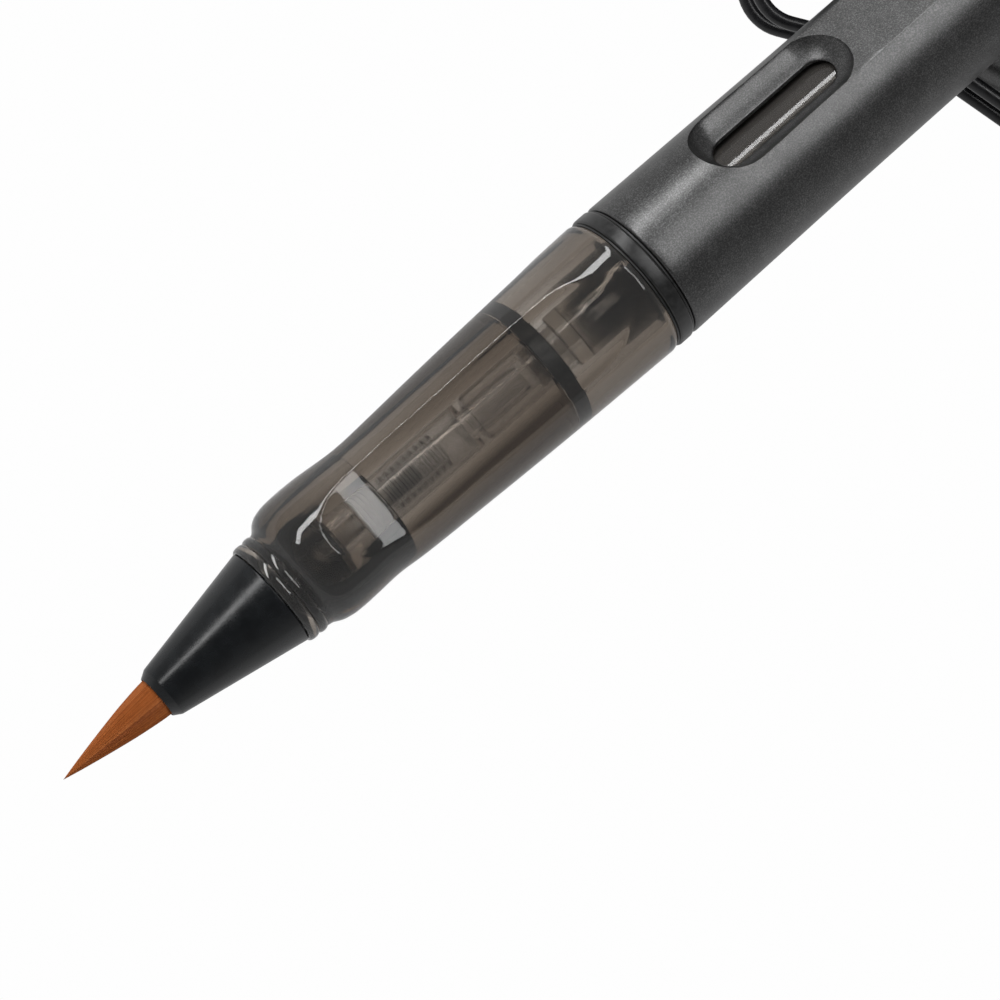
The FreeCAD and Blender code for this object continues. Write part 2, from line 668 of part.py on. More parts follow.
bodies = [item for item in doc.Objects if item.TypeId == "PartDesign::Body"]
sub_parts = bodies + [doc.getObject("cap_clip")]
for piece in sub_parts:
    if piece.Label in CAP_NODES:
        piece.Placement = cap_placement()
    elif piece.Label in TURNED_WITH_GRIP:
        piece.Placement = pen_placement(-number("grip_turn"))
    elif piece.Label in TURNED_WITH_WINDOW:
        piece.Placement = pen_placement(number("window_angle"))
    else:
        piece.Placement = pen_placement(0)
doc.recompute()

# ---------------------------------------------------------------- check and write
for item in doc.Objects:
    if "Invalid" in item.State or "Error" in item.State:
        raise RuntimeError("failed object: " + item.Label)
for piece in sub_parts:
    if piece.Shape.isNull() or not piece.Shape.isValid():
        raise RuntimeError("bad shape: " + piece.Label)
    if len(piece.Shape.Solids) != 1:
        raise RuntimeError("not one solid: " + piece.Label)
for piece in sub_parts:
    piece.Shape.exportStep("parts/" + piece.Label + ".step")
whole = FreeCAD.BoundBox()
for piece in sub_parts:
    whole.add(piece.Shape.optimalBoundingBox(False))
print("sub-parts", len(sub_parts))
print("box centre x %.3f y %.3f bottom %.3f" % (whole.Center.x, whole.Center.y, whole.ZMin))
print("box size %.2f %.2f %.2f" % (whole.XLength, whole.YLength, whole.ZLength))
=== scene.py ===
"""Brush fountain pen lying across its own cap: its visible pieces, finishes and studio."""

import json
import math
import random

import bmesh
import bpy
import numpy as np
from mathutils import Matrix, Vector


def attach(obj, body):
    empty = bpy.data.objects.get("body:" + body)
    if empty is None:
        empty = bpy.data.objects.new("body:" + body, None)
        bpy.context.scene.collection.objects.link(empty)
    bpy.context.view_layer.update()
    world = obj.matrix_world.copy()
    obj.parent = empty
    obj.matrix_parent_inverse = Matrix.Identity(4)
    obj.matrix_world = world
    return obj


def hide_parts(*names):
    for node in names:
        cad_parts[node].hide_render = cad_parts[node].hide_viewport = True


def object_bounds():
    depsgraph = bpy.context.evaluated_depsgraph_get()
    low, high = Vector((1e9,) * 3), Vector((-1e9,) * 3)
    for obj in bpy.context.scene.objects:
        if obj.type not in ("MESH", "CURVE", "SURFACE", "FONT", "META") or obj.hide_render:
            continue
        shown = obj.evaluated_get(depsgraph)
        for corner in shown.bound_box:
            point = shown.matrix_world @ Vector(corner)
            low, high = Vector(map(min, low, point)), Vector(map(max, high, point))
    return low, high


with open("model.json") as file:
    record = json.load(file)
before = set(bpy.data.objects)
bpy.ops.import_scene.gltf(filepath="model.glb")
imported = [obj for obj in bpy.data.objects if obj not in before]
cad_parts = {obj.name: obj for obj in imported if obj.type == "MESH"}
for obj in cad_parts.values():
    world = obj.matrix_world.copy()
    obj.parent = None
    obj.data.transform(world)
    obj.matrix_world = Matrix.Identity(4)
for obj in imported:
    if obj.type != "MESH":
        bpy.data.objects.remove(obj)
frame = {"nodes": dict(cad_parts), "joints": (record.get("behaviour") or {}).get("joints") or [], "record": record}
cad_low, cad_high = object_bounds()
MM = 0.001
joints = {joint["name"]: joint for joint in frame["joints"]}
mounts = {mount["name"]: mount for mount in frame["record"]["mounts"]}


# ------------------------------------------------------------------ local frames
def axes_matrix(x_axis, y_axis, z_axis, origin):
    """World matrix of a frame with these axes and this origin."""
    matrix = Matrix((x_axis, y_axis, z_axis)).transposed().to_4x4()
    matrix.translation = origin
    return matrix


# Lengths are in millimetres: up the pen from its tip, and up the cap from its mouth.
BARREL_HINGE_Z = 65.0      # where the barrel's unscrewing joint is stated
CAP_MOUNT_Z = 30.55        # where the middle of the cap's bore is stated
GRIP_TURN = -56            # degrees about the pen from its top to the grip's
WINDOW_TURN = -36          # degrees about the pen from its top to the barrel's first window
pen_z = Vector(joints["barrel_unscrew"]["axis"]).normalized()
pen_x = Vector((-pen_z.z, 0, pen_z.x))
pen_y = pen_z.cross(pen_x)
tip = Vector(joints["barrel_unscrew"]["pos_m"]) - pen_z * BARREL_HINGE_Z * MM
PEN = axes_matrix(pen_x, pen_y, pen_z, tip)
GRIP = PEN @ Matrix.Rotation(math.radians(GRIP_TURN), 4, "Z")
BARREL = PEN @ Matrix.Rotation(math.radians(WINDOW_TURN), 4, "Z")
cap_z = -Vector(mounts["cap_mouth"]["axis"]).normalized()
cap_y = -Vector(joints["clip_flex"]["axis"]).normalized()
cap_x = cap_y.cross(cap_z)
CAP = axes_matrix(cap_x, cap_y, cap_z,
                  Vector(mounts["cap_mouth"]["pos_m"]) - cap_z * CAP_MOUNT_Z * MM)


# ------------------------------------------------------------------ mesh helpers
def smooth_curve(knots):
    """Function through (position, value) knots without overshoot."""
    xs = np.array([k[0] for k in knots], float)
    ys = np.array([k[1] for k in knots], float)
    gaps = np.diff(xs)
    slopes = np.diff(ys) / gaps
    tangents = np.zeros(len(xs))
    tangents[0], tangents[-1] = slopes[0], slopes[-1]
    for i in range(1, len(xs) - 1):
        if slopes[i - 1] * slopes[i] > 0:
            tangents[i] = 2 * slopes[i - 1] * slopes[i] / (slopes[i - 1] + slopes[i])

    def curve(x):
        x = np.clip(x, xs[0], xs[-1])
        i = np.clip(np.searchsorted(xs, x, side="right") - 1, 0, len(xs) - 2)
        t = (x - xs[i]) / gaps[i]
        return ((2 * t**3 - 3 * t**2 + 1) * ys[i] + (t**3 - 2 * t**2 + t) * gaps[i] * tangents[i]
                + (3 * t**2 - 2 * t**3) * ys[i + 1] + (t**3 - t**2) * gaps[i] * tangents[i + 1])

    return curve


def soft_min(a, b, width):
    """Smaller of two, rounded off where they are within width of each other."""
    near = np.maximum(width - np.abs(a - b), 0) / width
    return np.minimum(a, b) - near * near * width / 4


def filleted(points, steps=6):
    """Outline of (across, along) points; a third entry rounds that corner to that radius."""
    out = []
    for i, point in enumerate(points):
        radius = point[2] if len(point) > 2 else 0
        here = np.array(point[:2], float)
        if not radius:
            out.append(here)
            continue
        back = np.array(points[i - 1][:2], float) - here
        ahead = np.array(points[(i + 1) % len(points)][:2], float) - here
        room = min(np.linalg.norm(back), np.linalg.norm(ahead)) * 0.49
        back, ahead = back / np.linalg.norm(back), ahead / np.linalg.norm(ahead)
        half = math.acos(max(-1, min(1, float(back @ ahead)))) / 2
        trim = min(radius / math.tan(half), room)
        radius = trim * math.tan(half)
        inward = (back + ahead) / np.linalg.norm(back + ahead)
        centre = here + inward * radius / math.sin(half)
        first, last = here + back * trim - centre, here + ahead * trim - centre
        turn = math.atan2(first[0] * last[1] - first[1] * last[0], float(first @ last))
        for k in range(steps + 1):
            a = turn * k / steps
            out.append(centre + np.array([first[0] * math.cos(a) - first[1] * math.sin(a),
                                          first[0] * math.sin(a) + first[1] * math.cos(a)]))
    return [tuple(p) for p in out]


def rows_to_faces(rows):
    """Quads between closed rows of so many vertices each; a row of one vertex is a pole."""
    faces = []
    start = 0
    for here, there in zip(rows[:-1], rows[1:]):
        after = start + here
        if here == 1:
            faces += [(start, after + j, after + (j + 1) % there) for j in range(there)]
        elif there == 1:
            faces += [(start + j, after, start + (j + 1) % here) for j in range(here)]
        else:
            faces += [(start + j, after + j, after + (j + 1) % there, start + (j + 1) % here)
                      for j in range(here)]
        start = after
    return faces


def lathe_data(outline, steps=160, ripple=None, closed=False):
    """Vertices and faces of an outline of (radius, height) turned about the Z axis."""
    verts, counts = [], []
    turns = np.arange(steps) * 2 * math.pi / steps
    for radius, height in outline:
        if radius < 1e-6:
            verts.append((0.0, 0.0, height))
            counts.append(1)
            continue
        radii = np.full(steps, float(radius))
        if ripple is not None:
            radii = radii + ripple(turns, radius, height)
        verts += [(r * math.cos(t), r * math.sin(t), height) for r, t in zip(radii, turns)]
        counts.append(steps)
    faces = rows_to_faces(counts)
    if closed:
        last = len(verts) - steps
        faces += [(last + j, j, (j + 1) % steps, last + (j + 1) % steps) for j in range(steps)]
    return verts, faces


def make_piece(name, data, matrix, body, finish, stands_for=(), sharp=40):
    """Piece from millimetre data in a local frame; edges over sharp degrees stay hard."""
    verts, faces = data
    mesh = bpy.data.meshes.new(name)
    mesh.from_pydata([matrix @ (Vector(v) * MM) for v in verts], [], faces)
    work = bmesh.new()
    work.from_mesh(mesh)
    bmesh.ops.recalc_face_normals(work, faces=work.faces)
    work.to_mesh(mesh)
    work.free()
    mesh.shade_smooth()
    mesh.set_sharp_from_angle(angle=math.radians(sharp))
    mesh.materials.append(finish)
    piece = bpy.data.objects.new(name, mesh)
    bpy.context.scene.collection.objects.link(piece)
    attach(piece, body)
    if stands_for:
        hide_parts(*stands_for)
    return piece


def set_tone(piece, tones):
    """Give each point of a piece a number that its finish reads."""
    tone = piece.data.attributes.new("tone", "FLOAT", "POINT")
    tone.data.foreach_set("value", np.array(tones, np.float32))


def swept_wire(path, radius, sides):
    """Round wire along a path of points, closed flat at both ends."""
    points = [Vector(p) for p in path]
    verts, counts = [], []
    tangents = [(points[min(i + 1, len(points) - 1)] - points[max(i - 1, 0)]).normalized()
                for i in range(len(points))]
    normal = tangents[0].orthogonal().normalized()
    for i, point in enumerate(points):
        if i:
            normal = tangents[i - 1].rotation_difference(tangents[i]) @ normal
            normal = (normal - tangents[i] * normal.dot(tangents[i])).normalized()
        side = tangents[i].cross(normal)
        if i == 0:
            verts.append(tuple(point))
            counts.append(1)
        for k in range(sides):
            a = 2 * math.pi * k / sides
            verts.append(tuple(point + (normal * math.cos(a) + side * math.sin(a)) * radius))
        counts.append(sides)
    verts.append(tuple(points[-1]))
    counts.append(1)
    return verts, rows_to_faces(counts)


# ------------------------------------------------------------------ finishes
FLOAT_A, FLOAT_B = 2, 3    # the sockets of a Mix node that take its two numbers
MIX_RESULT = 0             # its output


class Finish:
    """Node material around one Principled shader, with short names for the usual nodes."""

    def __init__(self, name, **sockets):
        self.material = bpy.data.materials.new(name)
        self.material.use_nodes = True
        self.tree = self.material.node_tree
        self.tree.nodes.clear()
        self.out = self.node("ShaderNodeOutputMaterial")
        self.shader = self.node("ShaderNodeBsdfPrincipled")
        self.link(self.shader, "BSDF", self.out, "Surface")
        for socket, value in sockets.items():
            self.shader.inputs[socket.replace("_", " ")].default_value = value
        self.place = self.node("ShaderNodeTexCoord")

    def node(self, kind, **values):
        made = self.tree.nodes.new(kind)
        for key, value in values.items():
            setattr(made, key, value)
        return made

    def link(self, a, a_name, b, b_name):
        self.tree.links.new(a.outputs[a_name], b.inputs[b_name])

    def noise(self, scale, detail=3.0, stretch=(1, 1, 1), roughness=0.55):
        """Noise laid along the pen; scale is in features a millimetre."""
        mapping = self.node("ShaderNodeMapping", vector_type="TEXTURE")
        mapping.inputs["Location"].default_value = PEN.translation
        mapping.inputs["Rotation"].default_value = PEN.to_euler()
        mapping.inputs["Scale"].default_value = [MM / (scale * s) for s in stretch]
        noise = self.node("ShaderNodeTexNoise")
        noise.inputs["Scale"].default_value = 1.0
        noise.inputs["Detail"].default_value = detail
        noise.inputs["Roughness"].default_value = roughness
        self.link(self.place, "Object", mapping, "Vector")
        self.link(mapping, "Vector", noise, "Vector")
        return noise

    def tone(self):
        """The number that set_tone gives to each point."""
        return self.node("ShaderNodeAttribute", attribute_name="tone")

    def mixed(self, first, second, share):
        """Mix of two nodes' values, with this share of the second."""
        both = self.node("ShaderNodeMix", data_type="FLOAT")
        both.inputs["Factor"].default_value = share
        self.link(first, "Fac", both, FLOAT_A)
        self.link(second, "Fac", both, FLOAT_B)
        return both

    def vary_colour(self, source, stops, output="Fac"):
        ramp = self.node("ShaderNodeValToRGB")
        while len(ramp.color_ramp.elements) < len(stops):
            ramp.color_ramp.elements.new(0.5)
        for element, (position, colour) in zip(ramp.color_ramp.elements, stops):
            element.position = position
            element.color = (*colour, 1)
        self.link(source, output, ramp, "Fac")
        self.link(ramp, "Color", self.shader, "Base Color")

    def vary_roughness(self, source, low, high):
        spread = self.node("ShaderNodeMapRange")
        for end, value in (("From Min", 0.3), ("From Max", 0.7),
                           ("To Min", low), ("To Max", high)):
            spread.inputs[end].default_value = value
        self.link(source, "Fac", spread, "Value")
        self.link(spread, "Result", self.shader, "Roughness")

    def bump(self, source, depth):
        """Bump of that depth in millimetres."""
        bump = self.node("ShaderNodeBump")
        bump.inputs["Distance"].default_value = depth * MM
        bump.inputs["Strength"].default_value = 1.0
        self.link(source, "Fac", bump, "Height")
        self.link(bump, "Normal", self.shader, "Normal")

    def absorb(self, colour, density):
        inside = self.node("ShaderNodeVolumeAbsorption")
        inside.inputs["Color"].default_value = (*colour, 1)
        inside.inputs["Density"].default_value = density
        self.link(inside, "Volume", self.out, "Volume")


def grey(value):
    return (value, value, value)


def plain_finish(name, dark, light, rough, scale=1.2, bump=0.0, **sockets):
    """Finish with a soft colour mottle, uneven gloss and optional grain."""
    finish = Finish(name, **sockets)
    mottle = finish.noise(scale)
    finish.vary_colour(mottle, [(0.35, dark), (0.65, light)])
    finish.vary_roughness(mottle, rough[0], rough[1])
    if bump:
        finish.bump(finish.noise(scale * 8, 2.0), bump)
    return finish.material


def hair_finish():
    """Hair, lighter or darker by its tone attribute, with streaks along the pen."""
    finish = Finish("finish_hair", Roughness=0.5, Specular_IOR_Level=0.12)
    streak = finish.noise(3.0, 3.0, (1, 1, 0.06))
    finish.vary_colour(finish.mixed(finish.tone(), streak, 0.45),
                       [(0.18, (0.190, 0.050, 0.012)), (0.45, (0.360, 0.100, 0.023)),
                        (0.80, (0.50, 0.165, 0.046))], MIX_RESULT)
    return finish.material


def metal_finish():
    """Dark anodised metal with a fine fleck."""
    finish = Finish("finish_anodised", Metallic=0.9, Specular_IOR_Level=0.4)
    fleck = finish.noise(8.5, 2.0, roughness=0.7)
    cloud = finish.noise(0.5, 3.0)
    finish.vary_colour(finish.mixed(fleck, cloud, 0.15),
                       [(0.34, grey(0.060)), (0.50, grey(0.088)), (0.64, grey(0.165))],
                       MIX_RESULT)
    finish.vary_roughness(fleck, 0.30, 0.42)
    finish.bump(fleck, 0.006)
    return finish.material


def clear_finish():
    """Clear plastic that its tone attribute darkens."""
    finish = Finish("finish_clear", IOR=1.49, Transmission_Weight=0.82)
    mottle = finish.noise(0.8)
    finish.vary_colour(finish.mixed(finish.tone(), mottle, 0.12),
                       [(0.0, (0.80, 0.74, 0.67)), (0.25, (0.50, 0.46, 0.42)),
                        (0.95, (0.06, 0.058, 0.056))], MIX_RESULT)
    finish.vary_roughness(mottle, 0.06, 0.14)
    return finish.material


def smoky_finish(name, colour, density, rough, grain=0.0):
    """Plastic that absorbs light on its way through; density is per metre."""
    finish = Finish(name, Base_Color=(1, 1, 1, 1), IOR=1.49, Transmission_Weight=0.975)
    wave = finish.noise(0.35, 2.0)
    finish.vary_roughness(wave, rough[0], rough[1])
    if grain:
        finish.bump(finish.noise(4.0, 2.0), grain)
    else:
        finish.bump(wave, 0.02)
    finish.absorb(colour, density)
    return finish.material


HAIR = hair_finish()
GLOSS = plain_finish("finish_black_gloss", (0.0045, 0.0055, 0.0065), (0.007, 0.0085, 0.010),
                     (0.22, 0.30), 0.8, Specular_IOR_Level=0.42)
MATTE = plain_finish("finish_black_matte", grey(0.010), grey(0.020), (0.45, 0.6), 2.0, 0.004)
SMOKE = smoky_finish("finish_smoky", (0.42, 0.34, 0.25), 540.0, (0.02, 0.07))
SMOKE_INNER = smoky_finish("finish_smoky_inner", (0.45, 0.34, 0.24), 75.0, (0.10, 0.22), 0.006)
FROST = plain_finish("finish_frosted", (0.74, 0.71, 0.68), (0.88, 0.86, 0.83), (0.4, 0.55), 2.5,
                     Transmission_Weight=0.8)
FIBRE = plain_finish("finish_fibre", (0.60, 0.55, 0.49), (0.78, 0.73, 0.67), (0.7, 0.9), 5.0, 0.02)
RUBBER = plain_finish("finish_rubber", grey(0.006), grey(0.014), (0.35, 0.5), 2.0, 0.004)
RING = plain_finish("finish_ring", grey(0.016), grey(0.030), (0.28, 0.40), 2.0, 0.003,
                    Metallic=0.35)
METAL = metal_finish()
CLEAR = clear_finish()
STEEL = plain_finish("finish_steel", grey(0.50), grey(0.70), (0.15, 0.28), 2.0, 0.0, Metallic=1.0)
WHITE = plain_finish("finish_white", (0.60, 0.59, 0.57), (0.74, 0.73, 0.71), (0.35, 0.5), 1.5)
RESIN = plain_finish("finish_resin", (0.16, 0.09, 0.04), (0.26, 0.16, 0.08), (0.3, 0.45), 1.5)
WIRE = plain_finish("finish_wire", (0.006, 0.006, 0.007), (0.012, 0.012, 0.014), (0.25, 0.36), 1.5,
                    0.003, Specular_IOR_Level=0.45)


# ------------------------------------------------------------------ brush
HAIR_END = 9.5             # where the hair goes into the ferrule
HAIR_ROOT = 16.0
HAIRS = 520
HAIR_RINGS = 14            # steps along a single hair
CORE_SIDES = 240
COMB_DEPTH = 0.035         # of the grooves in the core, where it is 1.7 in radius
tuft_radius = smooth_curve([(0, 0.0), (1.0, 0.235), (2.5, 0.56), (4.5, 0.96), (7.0, 1.40),
                            (9.5, 1.70), (10.5, 1.74), (16, 1.74)])


def tuft_data():
    """A core of hair with a combed surface, and single hairs laid over it down to the point."""
    heights = [0.02, 0.15, 0.4, 0.7] + [1 + 0.5 * k for k in range(19)] + [12, HAIR_ROOT]
    outline = [(0, 0.0)] + [(0.95 * float(tuft_radius(z)), z) for z in heights] + [(0, HAIR_ROOT)]
    combed = np.random.default_rng(7).uniform(-COMB_DEPTH, 0.0, CORE_SIDES)
    verts, faces = lathe_data(outline, CORE_SIDES, lambda t, r, z: combed * r / 1.7)
    tones = [0.35] * len(verts)
    draw = random.Random(11)
    for _ in range(HAIRS):
        turn = draw.uniform(0, 2 * math.pi)
        low = min(6.0, draw.expovariate(0.45)) + 0.05
        lean = draw.gauss(0, 0.035)
        width = draw.uniform(0.035, 0.06)
        tone = draw.uniform(0.05, 1.0)
        first = len(verts)
        for k in range(HAIR_RINGS + 1):
            z = low + (HAIR_END + 1.0 - low) * k / HAIR_RINGS
            taper = min(1.0, 0.15 + 1.4 * k / HAIR_RINGS)
            limit = float(tuft_radius(z))
            r = limit * 0.975
            slim = min(width * taper, 0.16 * r + 0.004)
            a = turn + lean * (1 - k / HAIR_RINGS)
            out = np.array([math.cos(a), math.sin(a), 0])
            across = np.array([-math.sin(a), math.cos(a), 0])
            base = out * r + np.array([0, 0, z])
            for shift, lift in ((-1, -0.3), (0, 0.55), (1, -0.3)):
                p = base + across * slim * shift + out * slim * lift
                reach = math.hypot(p[0], p[1])
                if reach > limit:
                    p[:2] *= limit / reach
                verts.append(tuple(p))
                tones.append(tone)
        for k in range(HAIR_RINGS):
            a, b = first + 3 * k, first + 3 * k + 3
            faces += [(a, a + 1, b + 1, b), (a + 1, a + 2, b + 2, b + 1), (a + 2, a, b, b + 2)]
        faces.append((first, first + 2, first + 1))
        end = first + 3 * HAIR_RINGS
        faces.append((end, end + 1, end + 2))
    return verts, faces, tones


verts, faces, tones = tuft_data()
tuft = make_piece("brush_hair", (verts, faces), PEN, "brush_unit", HAIR, ["brush_tuft"], 60)
set_tone(tuft, tones)

FERRULE = [(1.8, 9.5), (1.86, 9.5, 0.03), (2.26, 10.15, 0.18), (4.36, 21.2, 0.1), (3.3, 21.2),
           (3.3, 26.85, 0.1), (3.1, 27.0), (2.05, 27.0), (2.05, 16.0), (1.8, 16.0)]
make_piece("ferrule_cone", lathe_data(filleted(FERRULE), 200, closed=True), PEN, "brush_unit",
           GLOSS, ["ferrule"])


# ------------------------------------------------------------------ grip
SCOOP_DEEPEST, SCOOP_FLOOR, SCOOP_BEND = 33.0, 4.31, 0.032
scoop = [(z, SCOOP_FLOOR + SCOOP_BEND * (SCOOP_DEEPEST - z) ** 2)
         for z in np.arange(27.0, SCOOP_DEEPEST + 0.01, 0.5)]
flat_floor = smooth_curve([(26.3, 6.0)] + scoop +
                          [(33.8, 4.315), (40, 4.60), (51.6, 5.06), (53.2, 5.22), (54.8, 5.62),
                           (56.4, 6.06), (57.6, 6.34), (58.8, 6.60)])
body_radius = smooth_curve([(23.05, 4.56), (23.6, 4.66), (24.4, 4.92), (25.6, 5.03), (28.4, 5.08),
                            (32.7, 5.45), (38, 5.70), (46, 6.03), (52, 6.22), (58.1, 6.38)])
lip_radius = smooth_curve([(22.9, 3.9), (23.3, 4.35), (23.8, 4.95), (24.5, 5.32), (25.5, 5.51),
                           (26.6, 5.54), (28.2, 5.50), (30.5, 5.34), (33, 5.12), (36, 4.8)])
LIP_SHIFT = 0.29           # the finger stop's axis lies this far towards the grip's top
LIP_END = 36               # the stop has run into the body by here
BEAD_LOW, BEAD_SPLIT, BEAD_HIGH = 21.25, 22.23, 23.05      # two beads in front of the stop
BEAD_LENGTHS = 0.98, 0.82
BEAD_RADII = 4.44, 4.48
BEAD_SWELL = 0.2
GRIP_SHOULDER, GRIP_REAR = 58.1, 58.65                     # where its rear edge rounds off
THREAD_LOW, THREAD_HIGH = 60.95, 67.98
THREAD_ROOT, THREAD_HEIGHT = 5.05, 0.25
THREAD_FADE = 0.5          # length over which it starts and ends
FLAT_TURN = math.radians(60)
FLAT_EDGE = 0.14           # rounding of the edges of the finger flats
FLAT_LOW = 26.4
FLAT_ROWS_END = 57.6       # rows behind this keep the columns of this height
PLAIN_FRONT = 26.0         # rows before this keep the columns of this height


def grip_round(turn, z):
    """Radius of the grip's round skin, before the finger flats are taken off."""
    turn = np.asarray(turn, float)
    if z < BEAD_HIGH:
        which = 0 if z < BEAD_SPLIT else 1
        bead = (z - (BEAD_LOW, BEAD_SPLIT)[which]) / BEAD_LENGTHS[which]
        swell = math.sqrt(max(0.0, 1 - (2 * bead - 1) ** 2))
        return np.full(turn.shape, BEAD_RADII[which] + BEAD_SWELL * swell)
    if z > GRIP_REAR:
        if z < THREAD_LOW:
            return np.full(turn.shape, THREAD_ROOT)
        phase = (z - THREAD_LOW - turn / (2 * math.pi)) % 1.0
        ridge = np.clip((0.5 - np.abs(phase - 0.5)) / 0.28 - 0.35, 0, 1)
        fade = min(1.0, (z - THREAD_LOW) / THREAD_FADE, (THREAD_HIGH - z) / THREAD_FADE)
        return THREAD_ROOT + THREAD_HEIGHT * ridge * max(0.0, fade)
    radius = np.full(turn.shape, float(body_radius(z)))
    if z > GRIP_SHOULDER:
        radius -= 0.2 * ((z - GRIP_SHOULDER) / 0.55) ** 2
    if z < LIP_END:
        lip = float(lip_radius(z))
        stop = LIP_SHIFT * np.cos(turn) + np.sqrt(lip**2 - (LIP_SHIFT * np.sin(turn)) ** 2)
        radius = -soft_min(-radius, -stop, 0.25)
    return radius


def grip_skin(turn, z):
    """Radius of the finished grip at a turn from its top."""
    radius = grip_round(turn, z)
    if FLAT_LOW < z < GRIP_REAR:
        for side in (-FLAT_TURN, FLAT_TURN):
            lean = np.cos(np.asarray(turn) - side)
            floor = float(flat_floor(z)) / np.maximum(lean, 0.05)
            radius = soft_min(radius, floor, FLAT_EDGE)
    return radius


def grip_turns(z):
    """Column turns of a row, with columns gathered at the edges of the two finger flats."""
    floor = float(flat_floor(z))
    edges = []
    for side in (-FLAT_TURN, FLAT_TURN):
        for way in (-1, 1):
            low, high = math.radians(5), math.radians(59.5)
            if floor < float(grip_round(np.array([side]), z)[0]):
                for _ in range(30):
                    half = (low + high) / 2
                    skin = float(grip_round(np.array([side + way * half]), z)[0])
                    inside = floor / math.cos(half) < skin
                    low, high = (half, high) if inside else (low, half)
            edges.append(side + way * low)
    marks = edges + [edges[0] + 2 * math.pi]
    turns = []
    near = np.array([0.0, 0.004, 0.010, 0.020, 0.04, 0.08])
    # columns across a flat, between the flats, across the other flat and round the rest
    for (a, b), count in zip(zip(marks[:-1], marks[1:]), (34, 14, 34, 120)):
        span = b - a
        edge_share = np.minimum(near / span, 0.05 * np.arange(len(near)))
        inner = np.linspace(edge_share[-1], 1 - edge_share[-1], count)
        share = np.concatenate([edge_share[:-1], inner, (1 - edge_share[1:-1])[::-1]])
        turns.append(a + span * share)
    return np.concatenate(turns)


def grip_data():
    """The grip's shell: its skin from front to rear, then its bore back to the front."""
    rows = list(np.concatenate([
        BEAD_LOW + BEAD_LENGTHS[0] * (1 - np.cos(np.linspace(0, math.pi, 11))) / 2,
        BEAD_SPLIT + BEAD_LENGTHS[1] * (1 - np.cos(np.linspace(0.25, math.pi, 10))) / 2,
        np.arange(23.15, 33.4, 0.14), np.arange(33.5, 51.0, 0.5), np.arange(51.2, 58.6, 0.13),
        [58.6, GRIP_REAR, GRIP_REAR + 0.001, 59.2, 59.8, 60.4],
        np.arange(THREAD_LOW, THREAD_HIGH, 0.1), [THREAD_HIGH]]))
    verts, counts = [], []
    for z in rows:
        turns = grip_turns(min(max(z, PLAIN_FRONT), FLAT_ROWS_END))
        radii = grip_skin(turns, z)
        verts += [(r * math.cos(t), r * math.sin(t), z) for r, t in zip(radii, turns)]
        counts.append(len(turns))
    bore = [(4.25, THREAD_HIGH), (4.25, 48.66), (4.20, 48.6), (3.3, 48.6), (3.25, 48.54),
            (3.25, 32.35), (3.35, 32.3), (3.4, 32.25), (3.4, 21.4), (3.55, BEAD_LOW)]
    for radius, z in bore:
        turns = grip_turns(FLAT_ROWS_END if z > PLAIN_FRONT else PLAIN_FRONT)
        verts += [(radius * math.cos(t), radius * math.sin(t), z) for t in turns]
        counts.append(len(turns))
    faces = rows_to_faces(counts)
    steps, last = counts[-1], len(verts) - counts[-1]
    faces += [(last + j, j, (j + 1) % steps, last + (j + 1) % steps) for j in range(steps)]
    return verts, faces


make_piece("grip_shell", grip_data(), GRIP, "grip", SMOKE, ["grip_section"], 50)


# ------------------------------------------------------------------ rings before the barrel
def gasket_outline(low, high):
    return filleted([(5.4, low), (6.24, low, 0.08), (6.24, high, 0.08), (5.4, high)])


make_piece("gasket_front", lathe_data(gasket_outline(58.68, 58.9), closed=True), PEN, "ring",
           RUBBER, ["front_gasket"])
make_piece("gasket_rear", lathe_data(gasket_outline(60.22, 60.46), closed=True), PEN, "ring",
           RUBBER, ["rear_gasket"])
RING_OUTLINE = filleted([(5.4, 58.9), (6.42, 58.9, 0.2), (6.42, 60.22, 0.2), (5.4, 60.22)])
make_piece("ring_band", lathe_data(RING_OUTLINE, closed=True), PEN, "ring", RING,
           ["spacer_ring"])


# ------------------------------------------------------------------ barrel
FACE = 5.24                # distance of the barrel's two side faces from its axis
BORE = 4.02
BARREL_LOW, BARREL_REAR, BARREL_HIGH = 60.5, 129.2, 130.0  # its rear edge is bevelled
MOUTH_ROUND = 0.25
MOUTH_RADIUS, REAR_RADIUS = 6.40, 6.02
INSERT_BORE, INSERT_END = 5.75, 68.4                       # the mouth's wider bore
RIM_LOW, RIM_HIGH, RIM_HALF = 68.7, 84.25, 3.43
SLOT_LOW, SLOT_HIGH, SLOT_HALF, SLOT_FLOOR = 70.2, 82.7, 1.64, 4.06
barrel_radius = smooth_curve([(60.75, MOUTH_RADIUS), (69, 6.32), (80, 6.22), (100, 6.15),
                              (BARREL_REAR, REAR_RADIUS)])
FACE_FROM = RIM_LOW + RIM_HALF           # the side faces begin at the windows' round ends
WINDOW_LOW, WINDOW_HIGH = 67.9, 85.8     # rows between which the window patch is let in
WINDOW_BEND = 3.4          # how far inside those rows the fans' first and last middles lie
WINDOW_REACH = 6.0         # makes a column's turn into a length across the window
BORE_WINDOW_LOW, BORE_WINDOW_HIGH = 69.4, 83.6             # the same rows inside the bore
FACE_SEGMENTS = 28
SIDE_SEGMENTS = 90


def barrel_round(z):
    """Radius of the barrel before its side faces are taken off."""
    if z < BARREL_LOW + MOUTH_ROUND:
        short = (BARREL_LOW + MOUTH_ROUND - z) / MOUTH_ROUND
        return MOUTH_RADIUS - MOUTH_ROUND * (1 - math.sqrt(max(0, 1 - short**2)))
    if z > BARREL_REAR:
        return REAR_RADIUS - 0.55 * (z - BARREL_REAR) / 0.8
    return float(barrel_radius(z))


def face_turn(z):
    """Turn from the middle of a side face to its edge."""
    return math.acos(min(1, FACE / max(barrel_round(min(z, BARREL_REAR)), FACE + 0.01)))


